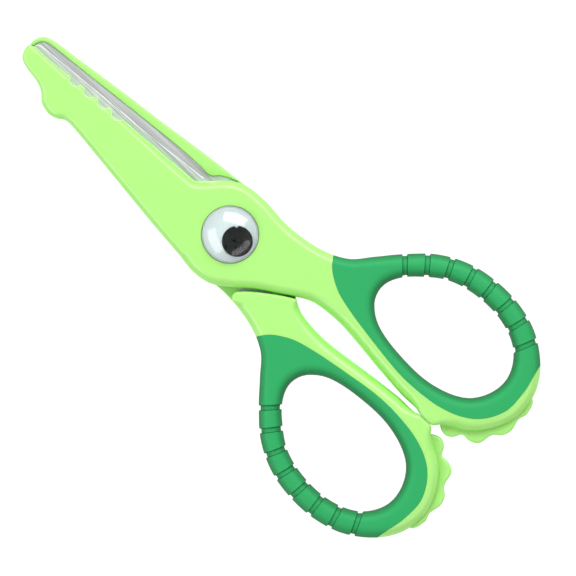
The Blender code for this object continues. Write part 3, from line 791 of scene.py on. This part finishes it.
def eye(materials):
    """The white, the pupil and the clear dome, in place of their CAD nodes."""
    for maker, node_name, body, slot, material in (
        (eye_white, "eye_base", "front_half", "eye_white", materials["white"]),
        (eye_pupil, "eye_pupil", "pupil_disc", "eye_black", materials["black"]),
        (eye_dome, "eye_dome", "front_half", "clear_plastic", materials["clear"]),
    ):
        piece = finished(new_piece(f"{node_name}_detail", [maker]), material, weighted=False)
        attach(piece, body)
        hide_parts(node_name)


def carried_over(materials):
    """Better materials on the CAD nodes that stay in view when the scissors come apart."""
    for node_name, material in (
        ("pivot_rivet", materials["rivet"]),
        ("rivet_washer", materials["rivet"]),
        ("eye_adhesive", materials["foam"]),
    ):
        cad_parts[node_name].material_slots[0].material = material


# ---------------------------------------------------------------- studio


FRAME_CENTRE, FRAME_WIDTH, FRAME_TURN = (-16.48, -0.22), 120.42, 223.5
LENS, SENSOR, FAR_CLIP = 400.0, 36.0, 20.0
FLOOR_REACH, FLOOR_LEVEL = 3.0, -0.00005  # the floor's half width, and its height just below 0, in metres

# The sky's brightness by the sine of the elevation.
SKY = [(0.0, 0.35), (0.45, 0.45), (0.65, 0.25), (0.85, 0.1), (1.0, 0.08)]

# Each light's name, direction from the pivot, size in metres and radiance. All stand at one distance.
SOFTBOXES = [
    ("key", (0.34, -0.69, 0.64), (1.05, 0.5), 6.4),
    ("fill", (0.32, 0.7, 0.64), (1.1, 0.45), 4.0),
    ("strip", (-0.8, 0.1, 0.6), (0.9, 0.3), 2.2),
]
SOFTBOX_DISTANCE = 0.9


def camera():
    """A long lens looking straight down, turned as in the photograph."""
    data = bpy.data.cameras.new("camera")
    data.lens, data.sensor_width = LENS, SENSOR
    data.clip_end = FAR_CLIP
    made = bpy.data.objects.new("camera", data)
    distance = FRAME_WIDTH * LENS / SENSOR
    made.location = Vector((*FRAME_CENTRE, THICKNESS + distance)) * MM
    made.rotation_euler = (0, 0, math.radians(FRAME_TURN))
    bpy.context.scene.collection.objects.link(made)
    bpy.context.scene.camera = made


def softbox(name, direction, size, radiance):
    """A rectangular light that faces the pivot from a direction, with its long side level."""
    data = bpy.data.lights.new(name, "AREA")
    data.shape, data.size, data.size_y = "RECTANGLE", *size
    data.energy = radiance * math.pi * size[0] * size[1]
    made = bpy.data.objects.new(name, data)
    made.location = Vector(direction).normalized() * SOFTBOX_DISTANCE
    made.rotation_euler = Vector(direction).to_track_quat("Z", "Y").to_euler()
    bpy.context.scene.collection.objects.link(made)


def sky():
    """A world whose brightness depends on the elevation alone."""
    world = bpy.data.worlds.new("studio")
    world.use_nodes = True
    tree = world.node_tree
    direction = node(tree, "ShaderNodeTexCoord").outputs["Generated"]
    height = node(tree, "ShaderNodeSeparateXYZ", {"Vector": direction}).outputs["Z"]
    ramp = node(tree, "ShaderNodeValToRGB", {"Fac": height})
    stops = ramp.color_ramp.elements
    while len(stops) < len(SKY):
        stops.new(0.5)
    for stop, (at, strength) in zip(stops, SKY):
        stop.position, stop.color = at, (strength, strength, strength, 1)
    tree.links.new(ramp.outputs["Color"], tree.nodes["Background"].inputs["Strength"])
    tree.nodes["Background"].inputs["Color"].default_value = (1, 1, 1, 1)
    bpy.context.scene.world = world


def paper():
    """White paper under the scissors."""
    mesh = bpy.data.meshes.new("floor")
    signs = [(-1, -1), (1, -1), (1, 1), (-1, 1)]
    corners = [(x * FLOOR_REACH, y * FLOOR_REACH, FLOOR_LEVEL) for x, y in signs]
    mesh.from_pydata(corners, [], [(0, 1, 2, 3)])
    floor = bpy.data.objects.new("floor", mesh)
    glow = {"Emission_Color": (1, 1, 1, 1), "Emission_Strength": 1.0}
    mesh.materials.append(new_material("floor", (0.1, 0.1, 0.1), 0.8, **glow)[0])
    bpy.context.scene.collection.objects.link(floor)


def studio():
    """The camera, light and paper."""
    camera()
    sky()
    for light in SOFTBOXES:
        softbox(*light)
    paper()
    bpy.context.scene.view_settings.view_transform = "Standard"


def main():
    materials = {
        "lime": lime_plastic(),
        "green": soft_rubber(),
        "steel": ground_steel(),
        "rivet": rivet_steel(),
        "foam": foam(),
        "white": white_plastic(),
        "black": black_plastic(),
        "clear": clear_plastic(),
    }
    half("front", FRONT_JAW + FRONT_DISC_SIDE, EYE_POCKET, materials)
    half("back", BACK_JAW + BACK_DISC_SIDE, HEAD_POCKET, materials)
    eye(materials)
    carried_over(materials)
    studio()


main()
